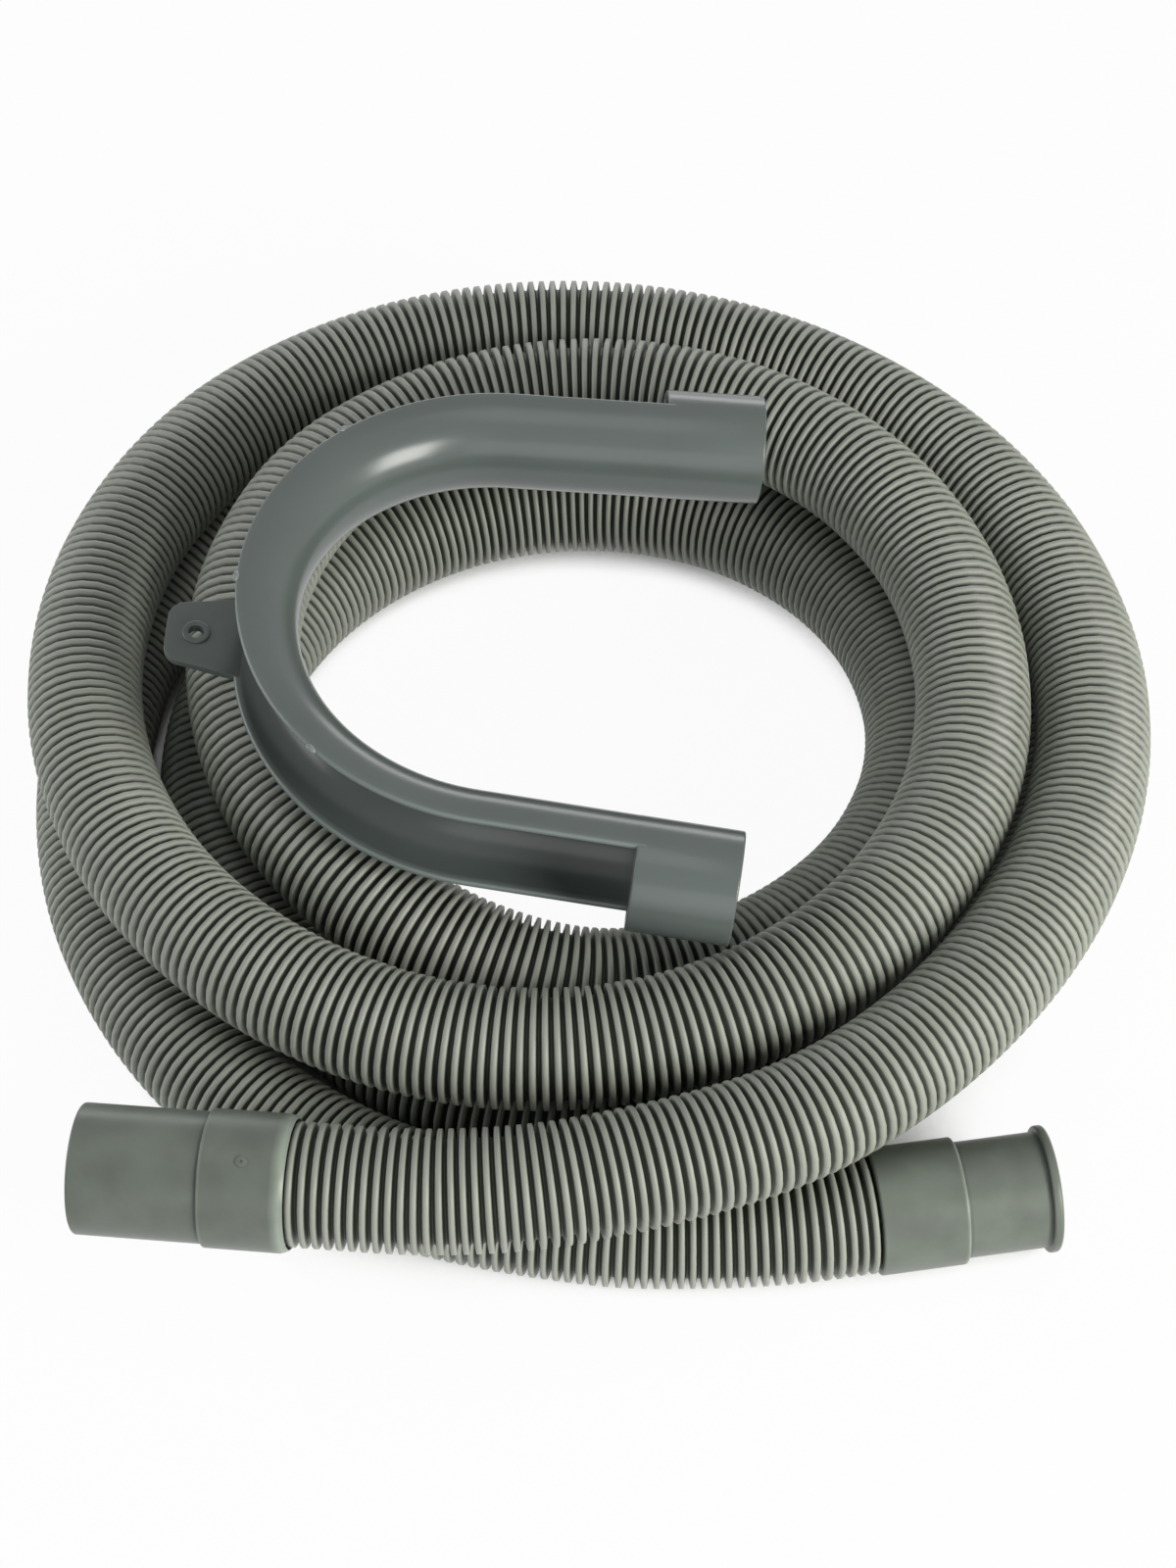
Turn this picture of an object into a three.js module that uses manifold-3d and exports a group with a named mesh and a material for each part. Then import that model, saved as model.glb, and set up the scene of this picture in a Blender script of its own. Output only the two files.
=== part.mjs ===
// Washing machine drain hose, coiled for storage, with its two end cuffs and the plastic crook
// that hooks the hose over a sink or a standpipe. Millimetres, +Z up, front of the coil at -Y.
// The origin is on the floor, under the middle of the coil.

import * as THREE from 'three';
import { mergeVertices } from 'three/addons/utils/BufferGeometryUtils.js';
import Module from 'manifold-3d';

const wasm = await Module();
wasm.setup();

// Clearance between pieces that touch
const seatGap = 0.3;

// Hose: a corrugated tube, kept here as a plain tube over its ridges
const hoseOuterRadius = 14.5;
const hoseWall = 2.7;
const hoseInnerRadius = hoseOuterRadius - hoseWall;
const hoseSides = 12;
const hoseSteps = 80;

// Route of the hose's middle line: radius from the coil's middle and height above the floor,
// eight places to each turn, anticlockwise from above, each turn starting at the front.
// The hose lies low on the floor, or high on the turn below it, or passes between the two.
const low = 14.7;
const high = 44.5;
const outerTurn = [
  [143.5, high], [130, high], [127, high], [127, high], [131.2, high], [134.3, high], [127, high], [116, high],
];
const secondTurn = [
  [107, 45], [100, 48], [96.5, 51.5], [98, 54.5], [100, 53.5], [99, 49.5], [86.5, 45], [79.5, 40.5],
];
const innerTurn = [
  [79.6, 31.6], [79, 25.2], [85.5, 23.5], [91, 21], [95, 18], [96.5, 15.5], [96, low], [97, low],
];
const floorTurn = [
  [106, low], [113, low], [125, low], [137.5, low], [135, low], [131.5, low], [127.5, low], [130.8, low],
];
const turnEnd = [136.5, low];
const pointsPerStation = 2;
const stationAngle = Math.PI / 4;
const coilMiddle = new THREE.Vector3(0.15, 5.95, -0.1);

// Places on the way from the outlet cuff to the coil, and from the coil to the machine cuff
const outletStraight = 4;
const leavingOutlet = new THREE.Vector3(-32, -146.6, 43.6);
const nearingMachine = new THREE.Vector3(27, -137.6, low);
const machineStraight = 17.4;

// Outlet cuff, front left: a plain spout behind a slightly wider collar that holds the hose
const outletTip = new THREE.Vector3(-117.7, -138.6, 41.4);
const outletHeading = THREE.MathUtils.degToRad(-6.5);
const outletRise = THREE.MathUtils.degToRad(2.2);
const outletSpoutRadius = 15.3;
const outletSpoutLength = 30.5;
const outletBoreRadius = 13.2;
const outletCollarRadius = 16.1;
const outletCollarLength = 20;
const outletSocketDepth = 12;
const outletSocketGap = 0.6;
const outletTipRound = 0.8;
const outletStepRound = 0.5;
const outletMouthRound = 0.8;
const outletMouthRoundLength = 2.4;

// Machine cuff, front right: collar flush with the hose, narrower spout, flange lip at the end
const machineStart = new THREE.Vector3(67.1, -133.8, 15.3);
const machineHeading = THREE.MathUtils.degToRad(9);
const machineCollarRadius = 15.2;
const machineCollarLength = 21;
const machineSpoutRadius = 13.85;
const machineSpoutLength = 20;
const machineBoreRadius = 11.6;
const machineBoreTaper = 3;
const machineFlangeRadius = 15.2;
const machineFlangeLength = 2.4;
const machineSleeveLength = 9;
const machineSleeveRadius = 10.2;
const machineSleeveWall = 1.6;
const machineEdgeRound = 0.7;
const machineStepRound = 0.5;

// Crook: a U of half-round channel, open on its outer side, closed to a ring at both ends
const crookOuterRadius = 13.8;
const crookWall = 1.8;
const crookLip = 2;
const crookBendRadius = 65;
const crookArmLength = 64;
const crookRingLength = 24;
const crookFlare = THREE.MathUtils.degToRad(6.9);
const ringThicker = 0.15;
const ringOverlap = 1;
const sectionSteps = 14;
const channelSteps = 38;

// Small nubs on the channel's upper lip, spread to both sides of the bend's middle
const nubRadius = 0.9;
const nubLength = 1.4;
const nubRise = 0.35;
const nubAngle = THREE.MathUtils.degToRad(178);
const nubSpread = THREE.MathUtils.degToRad(48);

// Hanging ear on the middle of the bend, with a hole in a low boss
const earReach = 84;
const earRootHalfWidth = 12.5;
const earTipHalfWidth = 9.5;
const earCornerRadius = 5;
const earThickness = 1.8;
const earSink = 0.6;
const earLift = 0.05;
const earHoleRadius = 1.9;
const earHoleInset = 7.5;
const earBossRadius = 3.5;
const earBossHeight = 0.5;
const earAngle = THREE.MathUtils.degToRad(177);

// Where the middle of the crook's bend lies over the coil, and how far the crook leans
const crookX = -19.9;
const crookY = -4;
const crookTilt = THREE.MathUtils.degToRad(5.3);
const crookRoll = THREE.MathUtils.degToRad(3);
const settlingSteps = 18;

const latheSegments = 40;
const cornerSteps = 3;

// Colours seen in the photograph
const hoseMaterial = new THREE.MeshStandardMaterial({ color: 0x8b9083, roughness: 0.55, metalness: 0 });
const cuffMaterial = new THREE.MeshStandardMaterial({ color: 0x6e756a, roughness: 0.45, metalness: 0 });
const crookMaterial = new THREE.MeshStandardMaterial({ color: 0x67706e, roughness: 0.32, metalness: 0 });

function heading(direction, rise) {
  const flat = Math.cos(rise);
  return new THREE.Vector3(flat * Math.cos(direction), flat * Math.sin(direction), Math.sin(rise));
}

const outletAxis = heading(outletHeading, outletRise);
const machineAxis = heading(machineHeading, 0);

// Points of the coil: the stations are blended along the turn and then placed around the middle
function coilPoints() {
  const stations = [...outerTurn, ...secondTurn, ...innerTurn, ...floorTurn, turnEnd];
  const blend = new THREE.CatmullRomCurve3(
    stations.map(([radius, height], index) => new THREE.Vector3(index, radius, height)),
    false,
    'catmullrom',
  );
  const count = (stations.length - 1) * pointsPerStation;
  const points = [];
  for (let i = 0; i <= count; i += 1) {
    const place = blend.getPoint(i / count);
    const angle = -Math.PI / 2 + (i / pointsPerStation) * stationAngle;
    points.push(new THREE.Vector3(place.y * Math.cos(angle), place.y * Math.sin(angle), place.z));
  }
  return points;
}

function hoseRoute() {
  const mouth = outletSpoutLength + outletCollarLength;
  const outletEnd = outletTip.clone().addScaledVector(outletAxis, mouth - outletSocketDepth + seatGap);
  const outletMouth = outletTip.clone().addScaledVector(outletAxis, mouth + outletStraight);
  const beforeMachine = machineStart.clone().addScaledVector(machineAxis, -machineStraight);
  const points = [
    outletEnd,
    outletMouth,
    leavingOutlet,
    ...coilPoints(),
    nearingMachine,
    beforeMachine,
    machineStart,
  ];
  return new THREE.CatmullRomCurve3(points.map((point) => point.clone().add(coilMiddle)));
}

function circlePath(path, radius, sides) {
  for (let i = 0; i < sides; i += 1) {
    const angle = (i / sides) * 2 * Math.PI;
    const x = radius * Math.cos(angle);
    const y = radius * Math.sin(angle);
    if (i === 0) {
      path.moveTo(x, y);
    } else {
      path.lineTo(x, y);
    }
  }
  path.closePath();
  return path;
}

function hoseGeometry() {
  const ring = circlePath(new THREE.Shape(), hoseOuterRadius, hoseSides);
  ring.holes.push(circlePath(new THREE.Path(), hoseInnerRadius, hoseSides));
  return new THREE.ExtrudeGeometry(ring, {
    steps: hoseSteps,
    bevelEnabled: false,
    extrudePath: hoseRoute(),
  });
}

// A profile of [distance along the axis, radius] pairs turned about +X
function turned(profile) {
  const outline = profile.map(([along, radius]) => new THREE.Vector2(radius, along)).reverse();
  outline.push(outline[0].clone());
  const geometry = new THREE.LatheGeometry(outline, latheSegments);
  geometry.rotateZ(-Math.PI / 2);
  return geometry;
}

// Points round a corner of a profile; `into` leads up to the corner and `out` away from it
function rounded([along, radius], into, out) {
  const points = [];
  for (let i = 0; i <= cornerSteps; i += 1) {
    const angle = (i / cornerSteps) * (Math.PI / 2);
    const before = 1 - Math.sin(angle);
    const after = 1 - Math.cos(angle);
    points.push([
      along - into[0] * before + out[0] * after,
      radius - into[1] * before + out[1] * after,
    ]);
  }
  return points;
}

function outletCuffGeometry() {
  const mouth = outletSpoutLength + outletCollarLength;
  const socket = mouth - outletSocketDepth;
  const socketRadius = hoseOuterRadius + outletSocketGap;
  return turned([
    [0, outletBoreRadius],
    [socket, outletBoreRadius],
    [socket, socketRadius],
    [mouth, socketRadius],
    ...rounded([mouth, outletCollarRadius], [0, outletMouthRound], [-outletMouthRoundLength, 0]),
    ...rounded([outletSpoutLength, outletCollarRadius], [-outletStepRound, 0], [0, -outletStepRound]),
    [outletSpoutLength, outletSpoutRadius],
    ...rounded([0, outletSpoutRadius], [-outletTipRound, 0], [0, -outletTipRound]),
  ]);
}

function machineCuffGeometry() {
  const sleeveBore = machineSleeveRadius - machineSleeveWall;
  const flangeStart = machineCollarLength + machineSpoutLength;
  const end = flangeStart + machineFlangeLength;
  const edge = machineEdgeRound;
  const step = machineStepRound;
  return turned([
    [-machineSleeveLength, sleeveBore],
    [machineCollarLength, sleeveBore],
    [machineCollarLength + machineBoreTaper, machineBoreRadius],
    [end, machineBoreRadius],
    ...rounded([end, machineFlangeRadius], [0, edge], [-edge, 0]),
    ...rounded([flangeStart, machineFlangeRadius], [-step, 0], [0, -step]),
    [flangeStart, machineSpoutRadius],
    [machineCollarLength, machineSpoutRadius],
    ...rounded([machineCollarLength, machineCollarRadius], [0, step], [-step, 0]),
    ...rounded([seatGap, machineCollarRadius], [-edge, 0], [0, -edge]),
    [seatGap, machineSleeveRadius],
    [-machineSleeveLength, machineSleeveRadius],
  ]);
}

// The crook's middle line: along the rear arm, round the bend, along the front arm
function crookLine(from, to) {
  const path = new THREE.CurvePath();
  const bendEnd = 1.5 * Math.PI - crookFlare;
  const rear = new THREE.Vector3(0, crookBendRadius, 0);
  const front = new THREE.Vector3(Math.cos(bendEnd), Math.sin(bendEnd), 0).multiplyScalar(crookBendRadius);
  const frontWay = new THREE.Vector3(-Math.sin(bendEnd), Math.cos(bendEnd), 0);
  path.add(new THREE.LineCurve3(new THREE.Vector3(from, crookBendRadius, 0), rear));
  const bend = new THREE.Curve();
  bend.getPoint = (t, target = new THREE.Vector3()) => {
    const angle = Math.PI / 2 + (bendEnd - Math.PI / 2) * t;
    return target.set(crookBendRadius * Math.cos(angle), crookBendRadius * Math.sin(angle), 0);
  };
  path.add(bend);
  path.add(new THREE.LineCurve3(front, front.clone().addScaledVector(frontWay, to)));
  return path;
}

// Channel section: x runs down through the channel, y runs in towards the middle of the U
function channelSection() {
  const section = new THREE.Shape();
  const inner = crookOuterRadius - crookWall;
  section.moveTo(crookOuterRadius, -crookLip);
  for (let i = 0; i <= sectionSteps; i += 1) {
    const angle = (i / sectionSteps) * Math.PI;
    section.lineTo(crookOuterRadius * Math.cos(angle), crookOuterRadius * Math.sin(angle));
  }
  section.lineTo(-crookOuterRadius, -crookLip);
  section.lineTo(-inner, -crookLip);
  for (let i = sectionSteps; i >= 0; i -= 1) {
    const angle = (i / sectionSteps) * Math.PI;
    section.lineTo(inner * Math.cos(angle), inner * Math.sin(angle));
  }
  section.lineTo(inner, -crookLip);
  section.closePath();
  return section;
}

function channelGeometry() {
  const straight = crookArmLength - crookRingLength;
  return new THREE.ExtrudeGeometry(channelSection(), {
    steps: channelSteps,
    bevelEnabled: false,
    extrudePath: crookLine(straight, straight),
  });
}

// Closed ring at the end of an arm, along +X from the arm's start of the ring
function ringGeometry() {
  const outside = crookOuterRadius + ringThicker;
  const inside = crookOuterRadius - crookWall - ringThicker;
  return turned([
    [-ringOverlap, inside],
    [crookRingLength, inside],
    [crookRingLength, outside],
    [-ringOverlap, outside],
  ]);
}

function toSolid(geometry) {
  const plain = geometry.clone();
  plain.deleteAttribute('normal');
  plain.deleteAttribute('uv');
  const merged = mergeVertices(plain, 1e-4);
  return new wasm.Manifold(new wasm.Mesh({
    numProp: 3,
    vertProperties: new Float32Array(merged.attributes.position.array),
    triVerts: new Uint32Array(merged.index.array),
  }));
}

function toGeometry(solid) {
  const mesh = solid.getMesh();
  const geometry = new THREE.BufferGeometry();
  geometry.setAttribute('position', new THREE.BufferAttribute(new Float32Array(mesh.vertProperties), 3));
  geometry.setIndex(new THREE.BufferAttribute(new Uint32Array(mesh.triVerts), 1));
  geometry.computeVertexNormals();
  return geometry;
}

// Flat ear, reaching along +X from the middle of the bend, with its boss and its hole
function earSolid() {
  const root = crookBendRadius - earSink;
  const outline = new THREE.Shape();
  outline.moveTo(root, -earRootHalfWidth);
  outline.lineTo(earReach - earCornerRadius, -earTipHalfWidth);
  outline.quadraticCurveTo(earReach, -earTipHalfWidth, earReach, -earTipHalfWidth + earCornerRadius);
  outline.lineTo(earReach, earTipHalfWidth - earCornerRadius);
  outline.quadraticCurveTo(earReach, earTipHalfWidth, earReach - earCornerRadius, earTipHalfWidth);
  outline.lineTo(root, earRootHalfWidth);
  outline.closePath();
  const plate = new THREE.ExtrudeGeometry(outline, {
    depth: earThickness,
    bevelEnabled: false,
    curveSegments: cornerSteps + 2,
  });
  const bossTop = earThickness + earBossHeight;
  const boss = new THREE.CylinderGeometry(earBossRadius, earBossRadius, bossTop, latheSegments);
  const drill = new THREE.CylinderGeometry(earHoleRadius, earHoleRadius, bossTop * 2, latheSegments);
  for (const round of [boss, drill]) {
    round.rotateX(Math.PI / 2);
    round.translate(earReach - earHoleInset, 0, bossTop / 2);
  }
  const ear = toSolid(plate).add(toSolid(boss)).subtract(toSolid(drill));
  return ear.translate([0, 0, earLift - crookOuterRadius]).rotate([0, 0, THREE.MathUtils.radToDeg(earAngle)]);
}

// A nub lies along the end of the upper lip and stands a little proud of it
function nubSolid(angle) {
  const nub = new THREE.CapsuleGeometry(nubRadius, nubLength, cornerSteps, latheSegments / 4);
  nub.translate(crookBendRadius + crookLip, 0, crookOuterRadius - nubRadius + nubRise);
  nub.rotateZ(angle);
  return toSolid(nub);
}

function crookGeometry() {
  const straight = crookArmLength - crookRingLength;
  const rearRing = ringGeometry();
  rearRing.translate(straight, crookBendRadius, 0);
  const frontRing = ringGeometry();
  frontRing.translate(straight, -crookBendRadius, 0);
  frontRing.rotateZ(-crookFlare);
  let whole = toSolid(channelGeometry()).add(toSolid(rearRing)).add(toSolid(frontRing)).add(earSolid());
  for (const side of [-1, 0, 1]) {
    whole = whole.add(nubSolid(nubAngle + side * nubSpread));
  }
  return toGeometry(whole);
}

// The least height at which the upper mesh lies a seat gap clear of the lower one
function settledHeight(upper, lower) {
  const base = toSolid(lower.geometry);
  upper.updateMatrixWorld();
  const lying = toSolid(upper.geometry.clone().applyMatrix4(upper.matrixWorld));
  let blocked = 0;
  let free = 2 * (high + hoseOuterRadius);
  for (let i = 0; i < settlingSteps; i += 1) {
    const height = (blocked + free) / 2;
    if (base.minGap(lying.translate([0, 0, height]), 2 * seatGap) < seatGap) {
      blocked = height;
    } else {
      free = height;
    }
  }
  return free;
}

function named(name, geometry, material) {
  const mesh = new THREE.Mesh(geometry, material);
  mesh.name = name;
  return mesh;
}

function outletCuff() {
  const mesh = named('outlet_cuff', outletCuffGeometry(), cuffMaterial);
  mesh.position.copy(outletTip).add(coilMiddle);
  mesh.rotation.set(0, -outletRise, outletHeading, 'ZYX');
  return mesh;
}

function machineCuff() {
  const mesh = named('machine_cuff', machineCuffGeometry(), cuffMaterial);
  mesh.position.copy(machineStart).add(coilMiddle);
  mesh.rotation.z = machineHeading;
  return mesh;
}

function crook(hose) {
  const mesh = named('hose_crook', crookGeometry(), crookMaterial);
  mesh.position.set(crookX, crookY, 0).add(coilMiddle);
  mesh.rotation.set(crookRoll, crookTilt, 0, 'ZYX');
  mesh.position.z += settledHeight(mesh, hose);
  return mesh;
}

const drainHose = new THREE.Group();
const hose = named('hose', hoseGeometry(), hoseMaterial);
drainHose.add(hose, outletCuff(), machineCuff(), crook(hose));

export default drainHose;
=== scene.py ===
"""A coiled washing machine drain hose with its two cuffs and the crook that hooks it over a sink."""

import math

import bmesh
import bpy
import numpy as np
from bpy.props import FloatProperty, FloatVectorProperty, IntProperty, PointerProperty
from mathutils import Matrix, Vector


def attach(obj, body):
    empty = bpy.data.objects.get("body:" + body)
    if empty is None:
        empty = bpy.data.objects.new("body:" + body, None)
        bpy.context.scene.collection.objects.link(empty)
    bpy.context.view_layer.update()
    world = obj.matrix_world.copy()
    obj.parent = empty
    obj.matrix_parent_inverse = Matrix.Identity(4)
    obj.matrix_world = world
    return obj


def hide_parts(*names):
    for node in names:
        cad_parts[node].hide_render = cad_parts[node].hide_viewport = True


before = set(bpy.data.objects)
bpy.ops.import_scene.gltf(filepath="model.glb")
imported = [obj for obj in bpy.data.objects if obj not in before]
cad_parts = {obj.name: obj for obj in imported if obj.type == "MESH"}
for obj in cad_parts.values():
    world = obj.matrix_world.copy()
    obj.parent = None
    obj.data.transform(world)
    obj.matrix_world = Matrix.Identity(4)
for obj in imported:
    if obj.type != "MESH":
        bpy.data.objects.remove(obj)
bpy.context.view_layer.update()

bl_info = {
    "name": "Drain Hose",
    "version": (1, 0, 0),
    "blender": (4, 5, 0),
    "location": "3D View > Sidebar > Drain Hose",
    "description": "Adds a coiled corrugated drain hose with its cuffs and its crook",
    "category": "Add Mesh",
}

MM = 0.001
BODY = "root"

# The camera, set for the photograph's picture
PICTURE_HEIGHT_PX = 1600
PHOTO_FOCAL_PX = 4088
PHOTO_ELEVATION = math.radians(51.0)
PHOTO_DISTANCE = 1.02
PHOTO_TARGET = Vector((0.0, -0.011, 0.025))
SENSOR_WIDTH_MM = 36.0
SEES_FROM, SEES_TO = 0.05, 20.0

# Route of the hose's middle line, as in the part's source: radius from the coil's middle and
# height above the floor, eight places to each turn, anticlockwise from above, from the front
LOW = 0.0147
HIGH = 0.0445
OUTER_TURN = [
    (0.1435, HIGH), (0.130, HIGH), (0.127, HIGH), (0.127, HIGH),
    (0.1312, HIGH), (0.1343, HIGH), (0.127, HIGH), (0.116, HIGH),
]
SECOND_TURN = [
    (0.107, 0.045), (0.100, 0.048), (0.0965, 0.0515), (0.098, 0.0545),
    (0.100, 0.0535), (0.099, 0.0495), (0.0865, 0.045), (0.0795, 0.0405),
]
INNER_TURN = [
    (0.0796, 0.0316), (0.079, 0.0252), (0.0855, 0.0235), (0.091, 0.021),
    (0.095, 0.018), (0.0965, 0.0155), (0.096, LOW), (0.097, LOW),
]
FLOOR_TURN = [
    (0.106, LOW), (0.113, LOW), (0.125, LOW), (0.1375, LOW),
    (0.135, LOW), (0.1315, LOW), (0.1275, LOW), (0.1308, LOW),
]
TURN_END = (0.1365, LOW)
STATIONS_PER_TURN = 8
COIL_MIDDLE = Vector((0.00015, 0.00595, -0.0001))

# Places on the way from the outlet cuff to the coil, and from the coil to the machine cuff
OUTLET_STRAIGHT = 4 * MM
LEAVING_OUTLET = Vector((-0.032, -0.1466, 0.0436))
NEARING_MACHINE = Vector((0.027, -0.1376, LOW))
MACHINE_STRAIGHT_RADII = 1.2

# Places of the two cuffs and of the crook, as in the part's source
OUTLET_TIP = Vector((-0.1177, -0.1386, 0.0414))
OUTLET_HEADING = math.radians(-6.5)
OUTLET_RISE = math.radians(2.2)
MACHINE_START = Vector((0.0671, -0.1338, 0.0153))
MACHINE_HEADING = math.radians(9.0)
CROOK_MIDDLE = Vector((-0.0199, -0.004, 0.07487))
CROOK_TILT = math.radians(5.3)
CROOK_ROLL = math.radians(3.0)
SEAT_GAP = 0.3 * MM

# How finely the forms are made, which angles count as sharp or as a corner, in radians, and how
# closely a ring of edges is looked for
ROUTE_STEPS = 24
BORE_STEPS = 180
CUFF_SIDES = 96
SECTION_STEPS = 28
BEND_STEPS = 64
SHARP_ANGLE = math.radians(40.0)
CORNER_ANGLE = 1.0
RING_TOLERANCE = 0.02 * MM
CUT_TOLERANCE = 1e-7

# The corners of a rib: the share of its pitch, and whether the corner lies on the crown
RIB_CORNERS = ((0.12, False), (0.29, True), (0.71, True), (0.88, False))

# Small roundings of the cuffs, where a share is of the rounding of the step or of the tip
MOUTH_ROUND = 0.7 * MM
MOUTH_RIM_ROUND = 0.12 * MM
OUTLET_CORNER_SHARE = 0.4
TIP_INNER_SHARE = 0.5
LIP_OUTER_ROUND = 0.8 * MM
LIP_INNER_ROUND = 0.4 * MM
LIP_BACK_ROUND = 0.6 * MM
LIP_CORNER_ROUND = 0.3 * MM
MACHINE_CORNER_SHARE = 0.5
MACHINE_START_SHARE = 1.3

# The small round mould mark on the outlet's collar
MARK_RADIUS = 1.4 * MM
MARK_HOLE = 0.35 * MM
MARK_HEIGHT = 0.3 * MM
MARK_ROUND = 0.12 * MM
MARK_SINK = 0.05 * MM
MARK_SIDES = 24
MARK_LEAN = math.radians(18.0)

# Small sizes of the crook's rings, ear, boss and nubs
OVERLAP = 1.0 * MM
RING_OUTER_ROUND = 0.5 * MM
RING_INNER_ROUND = 0.4 * MM
EAR_ANGLE = math.radians(177.0)
EAR_SINK = 0.6 * MM
EAR_LIFT = 0.05 * MM
EAR_ROUND = 0.5 * MM
EAR_CORNER_STEPS = 6
BOSS_SINK = 0.2 * MM
BOSS_OUTER_ROUND = 0.3 * MM
BOSS_INNER_ROUND = 0.2 * MM
BOSS_SIDES = 36
NUB_ANGLES = [math.radians(a) for a in (130.0, 178.0, 226.0)]
NUB_STRETCH = 1.8
NUB_RISE = 0.35 * MM
NUB_SIDES, NUB_RINGS = 18, 10

# How much painted highlight lightens the crook's lips and nubs and how much painted shade darkens its
# channel's inside, which counts as inside from that share of the wall inwards
LIP_HIGHLIGHT = 0.8
LIP_HIGHLIGHT_REACH = 0.8 * MM
CHANNEL_SHADE = 0.38
SHADED_WALL_SHARE = 0.7

# The shared look of moulded plastic: its sockets, and the detail of its noises
SKIN_INPUTS = (
    ("Color", "NodeSocketColor", (0.2, 0.2, 0.2, 1.0)),
    ("Cloud Scale", "NodeSocketFloat", 60.0),
    ("Cloud Amount", "NodeSocketFloat", 0.12),
    ("Roughness", "NodeSocketFloat", 0.45),
    ("Roughness Spread", "NodeSocketFloat", 0.08),
    ("Grain Scale", "NodeSocketFloat", 2500.0),
    ("Grain Depth", "NodeSocketFloat", 0.006 * MM),
    ("Wave Scale", "NodeSocketFloat", 110.0),
    ("Wave Depth", "NodeSocketFloat", 0.05 * MM),
)
SKIN_OUTPUTS = (
    ("Color", "NodeSocketColor"),
    ("Roughness", "NodeSocketFloat"),
    ("Normal", "NodeSocketVector"),
)
CLOUD_DETAIL, GRAIN_DETAIL, WAVE_DETAIL = 4.0, 2.0, 1.0

# Where the hose's colour turns from the painted shade of the grooves to the ridge colour, and how it varies
# from rib to rib
CROWN_FROM = 0.48
RIB_NOISE_SCALE = 180.0
RIB_DARKEST, RIB_LIGHTEST = 0.86, 1.14

# The floor and the surroundings, and how bright they are in a mirror or through glass
WHITE = (1.0, 1.0, 1.0)
FLOOR_REACH = 6.0
FLOOR_MIRRORED = 0.9
COVER_DISTANCE = 0.06
COVERED, OPEN = 0.10, 0.34
OPEN_WHITENESS = 0.95
AROUND_TONE, AROUND_STRENGTH = (0.98, 0.99, 1.0), 0.17
AROUND_MIRRORED = 0.55

# The lamps: name, place, width and height, power in watts and tone
LAMPS = (
    ("front_right", (0.96, -0.72, 0.60), (0.52, 0.62), 14.5, (1.0, 0.98, 0.93)),
    ("front", (0.05, -1.5, 0.50), (1.2, 0.9), 3.5, WHITE),
    ("left", (-1.15, 0.20, 0.50), (0.9, 0.7), 5.5, WHITE),
    ("back", (0.0, 1.45, 0.32), (1.2, 0.4), 4.5, WHITE),
    ("overhead", (0.0, 0.0, 1.6), (0.8, 0.8), 2.0, WHITE),
)


def length(name, description, value):
    """A size in metres for a property group."""
    return FloatProperty(name=name, description=description, default=value, unit="LENGTH", precision=5)


def colour(name, description, value):
    """A linear colour for a property group."""
    return FloatVectorProperty(
        name=name, description=description, default=value, subtype="COLOR", size=3, min=0.0, max=1.0
    )


class DrainHoseTube(bpy.types.PropertyGroup):
    """Sizes of the corrugated tube."""

    radius: length("Outside radius", "From the middle line to the top of a ridge", 14.5 * MM)
    pitch: length("Rib pitch", "From one ridge to the next along the hose", 2.76 * MM)
    groove: length("Groove depth", "From the top of a ridge to the floor of a groove", 2.4 * MM)
    wall: length("Wall", "Thickness of the wall under a groove", 0.7 * MM)
    sides: IntProperty(name="Sides", description="Faces round the tube", default=22, min=8, max=64)


class DrainHoseCuffs(bpy.types.PropertyGroup):
    """Sizes of the two end cuffs."""

    outlet_spout_radius: length("Outlet spout radius", "Outside of the outlet's spout", 15.3 * MM)
    outlet_spout_length: length("Outlet spout length", "From the tip to the collar", 30.5 * MM)
    outlet_bore_radius: length("Outlet bore radius", "Inside of the outlet's spout", 13.2 * MM)
    outlet_collar_radius: length("Outlet collar radius", "Outside of the collar", 16.1 * MM)
    outlet_collar_length: length("Outlet collar length", "Of the wider part", 20.0 * MM)
    outlet_socket_depth: length("Outlet socket depth", "How far the hose goes in", 12.0 * MM)
    outlet_socket_gap: length("Outlet socket gap", "Room round the hose in the collar", 0.6 * MM)
    outlet_tip_round: length("Outlet tip rounding", "Rounding of the spout's rim", 0.8 * MM)
    outlet_mouth_depth: length("Outlet mouth drop", "How far the collar's end is rounded inwards", 0.8 * MM)
    outlet_mouth_length: length("Outlet mouth rounding", "How much of the collar's end is rounded", 1.6 * MM)
    step_round: length("Step rounding", "Rounding of the steps on both cuffs", 0.45 * MM)
    machine_collar_radius: length("Machine collar radius", "Outside of the collar", 15.2 * MM)
    machine_collar_length: length("Machine collar length", "Of the wider part", 21.0 * MM)
    machine_spout_radius: length("Machine spout radius", "Outside of the spout", 13.85 * MM)
    machine_spout_length: length("Machine spout length", "From the collar to the lip", 20.0 * MM)
    machine_bore_radius: length("Machine bore radius", "Inside of the spout", 11.6 * MM)
    machine_taper: length("Machine bore taper", "Of the widening inside the spout", 3.0 * MM)
    machine_lip_radius: length("Machine lip radius", "Of the flange at the end", 15.2 * MM)
    machine_lip_length: length("Machine lip length", "Of the flange at the end", 2.4 * MM)
    machine_sleeve_length: length("Machine sleeve length", "Of the part inside the hose", 9.0 * MM)
    machine_sleeve_radius: length("Machine sleeve radius", "Outside of that part", 10.2 * MM)
    machine_sleeve_wall: length("Machine sleeve wall", "Thickness of that part", 1.6 * MM)


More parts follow.
